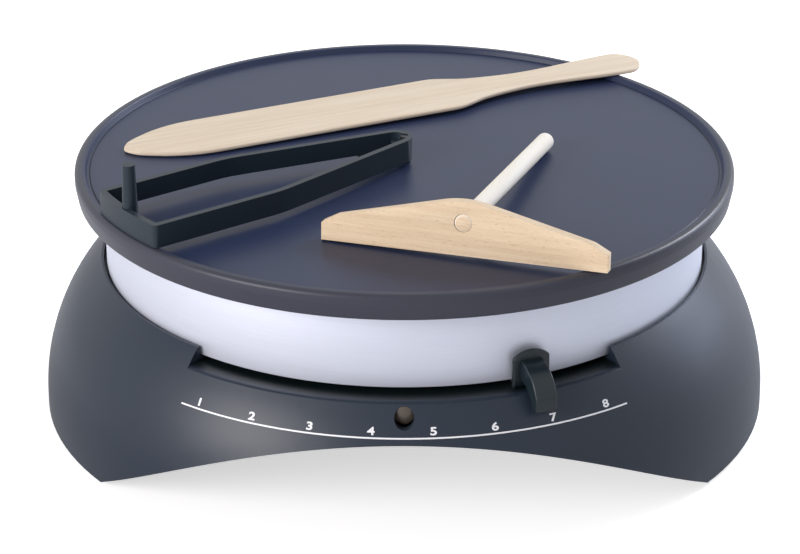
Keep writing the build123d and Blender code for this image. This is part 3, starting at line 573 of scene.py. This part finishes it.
spatula_wood = dressed("sanded beech, spatula", WOOD, (0.18, 0.03), Turn=(0, 0, radians(-SPATULA_HEADING)),
                       Rays=0.2, Early_wood=(0.79, 0.68, 0.54, 1), Late_wood=(0.67, 0.545, 0.41, 1),
                       Ray_colour=(0.45, 0.32, 0.2, 1))
rake_wood = dressed("sanded beech, rake", WOOD, (0.18, 0.03), Turn=(0, 0, radians(-RAKE_HEADING)),
                    Rays=0.5, Early_wood=(0.82, 0.66, 0.47, 1), Late_wood=(0.68, 0.51, 0.34, 1),
                    Ray_colour=(0.36, 0.21, 0.11, 1))
dowel_wood = dressed("sanded beech, dowel", WOOD, (0.15, 0.03), Turn=(0, 0, radians(-RAKE_HEADING - 90)),
                     Rays=0.15, Early_wood=(0.92, 0.88, 0.8, 1), Late_wood=(0.86, 0.79, 0.68, 1),
                     Ray_colour=(0.5, 0.36, 0.22, 1))

lens_plastic = clear_plastic("clear brown lens", (0.13, 0.105, 0.085, 1), 0.2, 0.35)
lamp_glass = clear_plastic("lamp glass", (0.75, 0.45, 0.3, 1), 0.1, 0.7)

# painted shade: the lever's slot darkened where it lies in shade; and the plate's cast side, a tone of its
# own
second_tone(base_plastic, (0.004, 0.008, 0.009, 1), ring=(163.0, 167.5), level=(76.2, 76.8))
second_tone(plate_coating, (0.044, 0.047, 0.066, 1), ring=(169.4, 167.8), level=(200.0, 201.0))

CAD_FINISH = {
    "base_shell": base_plastic, "bottom_cover": cover_plastic, "cover_screws": zinc,
    "foot_front_right": rubber, "foot_back_right": rubber,
    "foot_back_left": rubber, "foot_front_left": rubber,
    "cooking_plate": plate_coating, "metal_band": band_steel, "reflector_pan": pan_metal,
    "plate_studs": zinc, "stud_nuts": zinc, "spacer_tubes": zinc,
    "heating_element": sheath, "terminal_beads": ceramic, "element_clips": zinc,
    "thermostat_bracket": zinc, "thermostat_body": brown_plastic, "thermal_fuse": pan_metal,
    "thermostat_spindle": zinc, "spindle_nut": zinc, "lever_arm": zinc, "lever_knob": knob_plastic,
    "indicator_lens": lens_plastic, "indicator_lamp": lamp_glass, "lamp_holder": cover_plastic,
    "terminal_block": ceramic, "cord_gland": cover_plastic,
    "pivot_pin": black_steel, "spreader_frame": spreader_plastic,
    "spatula": spatula_wood, "rake_head": rake_wood, "rake_handle": dowel_wood,
}


def dress_cad_nodes():
    """Give every solid its finish."""
    for name, stuff in CAD_FINISH.items():
        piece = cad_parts[name]
        piece.data.materials.clear()
        piece.data.materials.append(stuff)


# ---------------------------------------------------------------- plate and band
def cooking_plate():
    """Cast plate turned in one piece: flat face, fine groove, raised bead, rounded rim and skirt."""
    seat, skirt = BAND_RADIUS + BAND_PLAY, PLATE_UNDER - PLATE_SKIRT
    groove, groove_inner = PLATE_FACE - GROOVE_DEPTH, BEAD_FOOT - GROOVE_WIDTH
    hole_edge, hole_floor = PIN_HOLE_RADIUS + PIN_HOLE_CHAMFER, PLATE_FACE - PIN_HOLE_DEPTH
    outline = rounded([
        (0, PLATE_UNDER), (seat, PLATE_UNDER, 0.3), (seat, skirt, 0.2),
        (PLATE_RADIUS - 1.5, skirt, 1.6), (PLATE_RADIUS, PLATE_FACE - 3.0, 4.0),
        (PLATE_RADIUS, BEAD_TOP, 2.6), (BEAD_TOP_RADIUS, BEAD_TOP, 0.8),
        (BEAD_FOOT, groove, 0.4), (groove_inner, groove, 0.3),
        (groove_inner - GROOVE_DEPTH, PLATE_FACE), (hole_edge, PLATE_FACE),
        (PIN_HOLE_RADIUS, PLATE_FACE - PIN_HOLE_CHAMFER), (PIN_HOLE_RADIUS, hole_floor), (0, hole_floor)])
    plate = turned("cooking_plate_turned", outline, closed=False)
    smooth(plate, 40)
    finish(plate, "appliance", ["cooking_plate"], plate_coating)


def metal_band():
    """Rolled band of sheet, from the base's ledge to the plate's underside."""
    inner, edge = BAND_RADIUS - BAND_SHEET, 0.25
    outline = rounded([(BAND_RADIUS, LEDGE_TOP, edge), (BAND_RADIUS, PLATE_UNDER, edge),
                       (inner, PLATE_UNDER, edge), (inner, LEDGE_TOP, edge)], 3)
    band = turned("metal_band_rolled", outline)
    smooth(band, 40)
    finish(band, "appliance", ["metal_band"], band_steel)


# ---------------------------------------------------------------- lever knob
def lever_knob():
    """Arched tab against the band, with a hooked finger grip that reaches over the slot's edge."""
    half, shoulder, crown = 9.75, 15.2, 19.1
    top = crown_arc(0.0, crown, half, crown - shoulder, 8)
    tab = flat_blank("lever_knob_moulded", rounded([(-half, 0, 0.8), (half, 0, 0.8), *top]), TAB_SHEET)
    soften(tab, 0.7)
    set_down(tab, shift(0, -TAB_FRONT, 0) @ turn(90, "X"))
    # the grip's side view, as its radius and its height over the arm's underside
    root, front, heel, low = 161.5, 181.0, 175.6, -6.4
    back = curve_through([(root, 14.0), (169.9, 12.4), (176.3, 8.3), (180.0, 3.0), (front, 0.0)],
                         (1, 0), (0, -1), 6)
    toe = rounded([(front, 0.0), (front, low, 1.6), (heel, low, 1.0), (heel, -4.0)])[1:-1]
    belly = curve_through([(heel, low), (167.4, 2.6), (root, 3.6)], (0, 1), (-1, 0), 8)
    grip = flat_blank("lever_grip", back + toe + belly[1:], GRIP_WIDTH)
    soften(grip, 1.5, 4, 50)
    upright = Matrix(((0, 0, -1, 0), (-1, 0, 0, 0), (0, 1, 0, 0), (0, 0, 0, 1)))
    set_down(grip, shift(GRIP_WIDTH / 2, 0, 0) @ upright)
    combine(tab, grip, "UNION")
    set_down(tab, turn(LEVER_BEARING, "Z") @ shift(0, 0, ARM_UNDER))
    smooth(tab, 40)
    finish(tab, "lever", ["lever_knob"], knob_plastic)


# ---------------------------------------------------------------- batter spreader
def spreader_side(side, reach, inset):
    """Three points of a long wall, set in by a wall: on the nose, at the bend and at the outer end."""
    nose_x, nose_y = NOSE_PLACE
    across, along = reach - side * nose_x, SPREADER_BEND + nose_y
    lean = atan2(across, along) - asin(NOSE_RADIUS / sqrt(across ** 2 + along ** 2))
    nose, end, x = NOSE_RADIUS - inset, SPREADER_END_RADIUS - inset, side * (reach - inset)
    start = (nose_x + side * nose * cos(lean), nose_y + nose * sin(lean))
    return start, (x, -(SPREADER_BEND - inset * tan(lean / 2))), (x, -sqrt(end ** 2 - x ** 2))


def spreader_outline(inset):
    """The frame's plan, set in by a wall: a round nose, two walls that turn parallel, and a round end."""
    near = spreader_side(1, SPREADER_NEAR_SIDE, inset)
    far = spreader_side(-1, SPREADER_FAR_SIDE, inset)
    end, nose, middle = SPREADER_END_RADIUS - inset, NOSE_RADIUS - inset, Vector(NOSE_PLACE)
    corner, bend = max(SPREADER_CORNER_RADIUS - inset, 0.3), SPREADER_BEND_RADIUS - inset
    first, last = [atan2(side[0][1] - middle.y, side[0][0] - middle.x) % (2 * pi) for side in (near, far)]
    first -= 2 * pi * (first > pi)
    nose_angles = [first + (last - first) * i / 16 for i in range(17)]
    round_nose = [(middle.x + nose * cos(a), middle.y + nose * sin(a)) for a in nose_angles]
    low, high = atan2(far[2][1], far[2][0]), atan2(near[2][1], near[2][0])
    end_angles = [low + (high - low) * i / 14 for i in range(1, 14)]
    round_end = [(end * cos(a), end * sin(a)) for a in end_angles]
    return rounded([*round_nose, (*far[1], bend), (*far[2], corner), *round_end,
                    (*near[2], corner), (*near[1], bend)])


def spreader_frame():
    """Moulded frame that rides on the bead and on its foot at the pin, with the finger peg at its end."""
    # cutting tools reach a little past the frame
    high = SPREADER_HEIGHT
    frame_piece = flat_blank("spreader_frame_moulded", spreader_outline(0.0), high)
    inside = flat_blank("spreader_inside", spreader_outline(SPREADER_WALL), high + 4)
    set_down(inside, shift(0, 0, -2))
    combine(frame_piece, inside, "DIFFERENCE")

    deselect_all()
    bpy.ops.mesh.primitive_cube_add(size=MM)
    under = bpy.context.object
    set_down(under, shift(*WALL_GAP_MIDDLE, 0) @ Matrix.Diagonal((*WALL_GAP_SIZE, 2 * WALL_GAP_HEIGHT, 1)))
    combine(frame_piece, under, "DIFFERENCE")

    # the boss is kept inside the nose's outer face
    boss = peg("boss", PIVOT_BOSS_RADIUS, 0.0, high - PIVOT_BOSS_DROP)
    keep = flat_blank("boss_limit", spreader_outline(0.01), high + 2)
    set_down(keep, shift(0, 0, -1))
    combine(boss, keep, "INTERSECT")
    combine(frame_piece, boss, "UNION")
    combine(frame_piece, peg("foot", PIVOT_FOOT_RADIUS, -BEAD_HEIGHT, 6.0), "UNION")
    combine(frame_piece, peg("pin hole", PIVOT_HOLE_RADIUS, -5.0, high + 1), "DIFFERENCE")

    combine(frame_piece, peg("peg foot", PEG_RADIUS, 0.0, high + 0.01, PEG_PLACE), "UNION")
    deselect_all()
    bpy.ops.mesh.primitive_cone_add(vertices=48, radius1=PEG_RADIUS * MM, radius2=PEG_TOP_RADIUS * MM,
                                    depth=PEG_HEIGHT * MM,
                                    location=Vector((*PEG_PLACE, high + PEG_HEIGHT / 2)) * MM)
    finger_peg = bpy.context.object
    bpy.ops.object.transform_apply(location=True)
    combine(frame_piece, finger_peg, "UNION")

    soften(frame_piece, 0.9, 4, 28)
    set_down(frame_piece, shift(0, 0, SPREADER_FLOOR) @ turn(SPREADER_BEARING, "Z"))
    smooth(frame_piece)
    finish(frame_piece, "spreader", ["spreader_frame"], spreader_plastic)


# ---------------------------------------------------------------- wooden tools
def spatula():
    """Long thin blade with a rounded point, waist and grip, its edges sanded round."""
    tip = curve_through([(0, 0), (2.5, 5.3), (13.5, 13.4), (BLADE_TIP_LENGTH, BLADE_HALF_WIDTH)],
                        (0, 1), (1, 0), 8)
    waist = curve_through([(BLADE_LENGTH, BLADE_HALF_WIDTH), (THROAT_DISTANCE, THROAT_HALF_WIDTH),
                           (NECK_DISTANCE, NECK_HALF_WIDTH), (GRIP_DISTANCE, GRIP_HALF_WIDTH)],
                          (1, 0), (1, 0), 10)
    end = curve_through([(GRIP_DISTANCE, GRIP_HALF_WIDTH), (SPATULA_LENGTH, 0)], (1, 0), (0, -1), 12)
    half = tip + waist + end[1:]
    outline = half + [(x, -y) for x, y in reversed(half)][1:-1]
    blade = flat_blank("spatula_carved", outline, SPATULA_THICKNESS)
    soften(blade, 1.0, 4, 50)
    # the tip lies on the plate, and the blade leans on the bead where it crosses it
    x, y = SPATULA_TIP
    ahead = x * cos(radians(SPATULA_HEADING)) + y * sin(radians(SPATULA_HEADING))
    crossing = sqrt(ahead ** 2 - x ** 2 - y ** 2 + BEAD_TOP_RADIUS ** 2) - ahead
    tilt = degrees(asin(BEAD_HEIGHT / crossing))
    set_down(blade, shift(x, y, LOOSE_FLOOR) @ turn(SPATULA_HEADING, "Z") @ turn(-tilt, "Y"))
    smooth(blade, 30)
    finish(blade, "spatula", ["spatula"], spatula_wood)


def at_rake():
    """Where the rake lies: its handle's end and left corner on the plate, its right corner on the bead."""
    lean = degrees(asin((DOWEL_HEIGHT - DOWEL_HOLE_RADIUS + BEAD_HEIGHT / 2) / DOWEL_LENGTH))
    roll = degrees(asin(BEAD_HEIGHT / RAKE_LENGTH))
    floor = PLATE_FACE + RAKE_THICKNESS * sin(radians(lean)) + REST_GAP
    return shift(*RAKE_CORNER, floor) @ turn(RAKE_HEADING, "Z") @ turn(-roll, "Y") @ turn(-lean, "X")


def rake_head():
    """Sawn head with low ends, sloping shoulders and a round crown, bored through for its handle."""
    top = crown_arc(RAKE_MIDDLE, RAKE_CROWN_HEIGHT, RAKE_CROWN_HALF_WIDTH,
                    RAKE_CROWN_HEIGHT - RAKE_SLOPE_TOP_HEIGHT, 6)
    outline = [(0, 0), (RAKE_LENGTH, 0), (RAKE_LENGTH, RAKE_END_HEIGHT),
               (RAKE_LENGTH - RAKE_SHOULDER_LENGTH, RAKE_SHOULDER_HEIGHT, 6.0), *top,
               (RAKE_SHOULDER_LENGTH, RAKE_SHOULDER_HEIGHT, 6.0), (0, RAKE_END_HEIGHT)]
    head = flat_blank("rake_head_sawn", rounded(outline, 4), RAKE_THICKNESS)
    bore = peg("bore", DOWEL_HOLE_RADIUS, -1, 7, (RAKE_MIDDLE, DOWEL_HEIGHT))
    combine(head, bore, "DIFFERENCE")
    soften(head, 0.9, 3, 40)
    set_down(head, at_rake() @ shift(0, RAKE_THICKNESS, 0) @ turn(90, "X"))
    smooth(head, 30)
    finish(head, "rake", ["rake_head"], rake_wood)


def rake_handle():
    """Dowel, flush with the head's front and rounded at its far end. Its ends show the darker wood."""
    dowel = peg("rake_handle_turned", DOWEL_RADIUS, 0.0, DOWEL_LENGTH + RAKE_THICKNESS, sides=64)
    soften(dowel, 1.3, 4, 60)
    set_down(dowel, at_rake() @ shift(RAKE_MIDDLE, 0, DOWEL_HEIGHT) @ turn(-90, "X"))
    smooth(dowel)
    finish(dowel, "rake", ["rake_handle"], dowel_wood)
    dowel.data.materials.append(rake_wood)
    axis = at_rake().to_3x3() @ Vector((0, 1, 0))
    for face in dowel.data.polygons:
        if abs(face.normal.dot(axis)) > 0.9:
            face.material_index = 1


# ---------------------------------------------------------------- printed scale
def flank_point(bearing, along_flank, lift):
    """A point over the base's flank: its bearing, how far up the curve from the scale's line, its lift."""
    rise = asin((SCALE_HEIGHT - WIDEST_HEIGHT) / FLANK_RADIUS) + along_flank / FLANK_RADIUS
    radius = FLANK_CENTRE + (FLANK_RADIUS + lift) * cos(rise)
    height = WIDEST_HEIGHT + (FLANK_RADIUS + lift) * sin(rise)
    return Vector((radius * sin(radians(bearing)), -radius * cos(radians(bearing)), height)) * MM


def wrap_on_flank(piece, bearing):
    """Lay a flat print, drawn in x and y, on the base's flank at this bearing."""
    for corner in piece.data.vertices:
        along, up = corner.co.x / MM, corner.co.y / MM
        corner.co = flank_point(bearing + degrees(along / SCALE_RADIUS), up, PRINT_LIFT)


def scale_line():
    """The line under the numbers."""
    length = 2 * radians(SCALE_HALF_ANGLE) * SCALE_RADIUS
    deselect_all()
    bpy.ops.mesh.primitive_grid_add(x_subdivisions=240, y_subdivisions=2, size=MM)
    line = bpy.context.object
    line.name = line.data.name = "scale_line_print"
    line.scale = (length, SCALE_LINE_WIDTH, 1.0)
    bpy.ops.object.transform_apply(scale=True)
    wrap_on_flank(line, 0.0)
    finish(line, "appliance", [], white_ink)


def scale_numbers():
    """The numbers 1 to 8, standing over the line at equal steps."""
    for number in range(1, 9):
        deselect_all()
        bpy.ops.object.text_add()
        text = bpy.context.object
        text.data.body = str(number)
        text.data.align_x = "CENTER"
        text.data.size = 1.0
        text.data.offset = FONT_WEIGHT
        bpy.ops.object.convert(target="MESH")
        text = bpy.context.object
        text.name = text.data.name = "scale_number_%d_print" % number
        for corner in text.data.vertices:
            corner.co *= NUMBER_HEIGHT * FONT_SIZE * MM
            corner.co.x *= NUMBER_WIDENING
            corner.co.y += NUMBER_RISE * MM
        wrap_on_flank(text, (number - 4.5) * NUMBER_STEP + NUMBER_SHIFT)
        finish(text, "appliance", [], white_ink)


# ---------------------------------------------------------------- studio
def studio_floor():
    """A pale floor that shows white to the camera and keeps the object's soft shadow."""
    deselect_all()
    bpy.ops.mesh.primitive_plane_add(size=FLOOR_SIZE, location=(0, 0, FLOOR_LEVEL))
    floor = bpy.context.object
    floor.name = "studio_floor"
    stuff = bpy.data.materials.new("pale floor")
    stuff.use_nodes = True
    tree = stuff.node_tree
    tree.nodes.clear()
    ray = tree.nodes.new("ShaderNodeLightPath").outputs
    shown = maths(tree, "MAXIMUM", ray["Is Camera Ray"], ray["Is Transmission Ray"])
    glint = maths(tree, "MULTIPLY", ray["Is Glossy Ray"], FLOOR_GLINT)
    strength = maths(tree, "MULTIPLY_ADD", shown, FLOOR_GLOW, glint)
    paint = node(tree, "ShaderNodeBsdfDiffuse", Color=(0.86, 0.86, 0.87, 1))
    glow = node(tree, "ShaderNodeEmission", Color=(1, 1, 1, 1), Strength=strength)
    both = tree.nodes.new("ShaderNodeAddShader")
    feed(tree, both.inputs[0], paint.outputs[0])
    feed(tree, both.inputs[1], glow.outputs[0])
    out = tree.nodes.new("ShaderNodeOutputMaterial")
    feed(tree, out.inputs["Surface"], both.outputs[0])
    floor.data.materials.append(stuff)


def studio_world():
    """A white world that lights the object faintly, and is seen and reflected at full strength."""
    world = bpy.data.worlds.new("studio")
    bpy.context.scene.world = world
    world.use_nodes = True
    tree = world.node_tree
    back = tree.nodes["Background"]
    back.inputs["Color"].default_value = (1, 1, 1, 1)
    ray = tree.nodes.new("ShaderNodeLightPath").outputs
    seen = maths(tree, "MAXIMUM", ray["Is Camera Ray"], ray["Is Transmission Ray"])
    shown = maths(tree, "MAXIMUM", seen, ray["Is Glossy Ray"])
    strength = node(tree, "ShaderNodeMapRange", Value=shown, To_Min=WORLD_LIGHT, To_Max=1.0)
    feed(tree, back.inputs["Strength"], strength.outputs["Result"])


def softbox(name, place, size, watts, tint):
    """A rectangular lamp that faces the object. Its place and size are in metres."""
    light = bpy.data.lights.new(name, "AREA")
    light.shape = "RECTANGLE"
    light.size, light.size_y = size
    light.energy = watts
    light.color = tint
    lamp = bpy.data.objects.new(name, light)
    bpy.context.scene.collection.objects.link(lamp)
    lamp.location = place
    lamp.rotation_euler = (Vector(LAMP_TARGET) - Vector(place)).to_track_quat("-Z", "Y").to_euler()


def studio_camera():
    """In front of the object and a little above it, with a long lens."""
    target = Vector(CAMERA_TARGET) * MM
    up, round_z, away = radians(CAMERA_ELEVATION), radians(CAMERA_BEARING), CAMERA_DISTANCE * MM
    place = target + away * Vector((cos(up) * sin(round_z), -cos(up) * cos(round_z), sin(up)))
    lens = bpy.data.cameras.new("camera")
    lens.lens = CAMERA_LENS
    lens.sensor_width = CAMERA_SENSOR
    camera = bpy.data.objects.new("camera", lens)
    bpy.context.scene.collection.objects.link(camera)
    camera.location = place
    camera.rotation_euler = (target - place).to_track_quat("-Z", "Y").to_euler()
    bpy.context.scene.camera = camera


dress_cad_nodes()
cooking_plate()
metal_band()
lever_knob()
spreader_frame()
spatula()
rake_head()
rake_handle()
scale_line()
scale_numbers()
studio_floor()
studio_world()
softbox("front left softbox", (-1.58, -1.33, 0.85), (1.2, 1.0), 43, (1.0, 0.96, 0.955))
softbox("back right softbox", (1.38, 1.16, 1.36), (0.8, 0.7), 33, (0.93, 0.96, 1.0))
softbox("right softbox", (1.85, 0.98, 0.78), (1.0, 1.2), 15, (0.68, 0.75, 1.0))
studio_camera()
bpy.context.scene.view_settings.view_transform = "Standard"
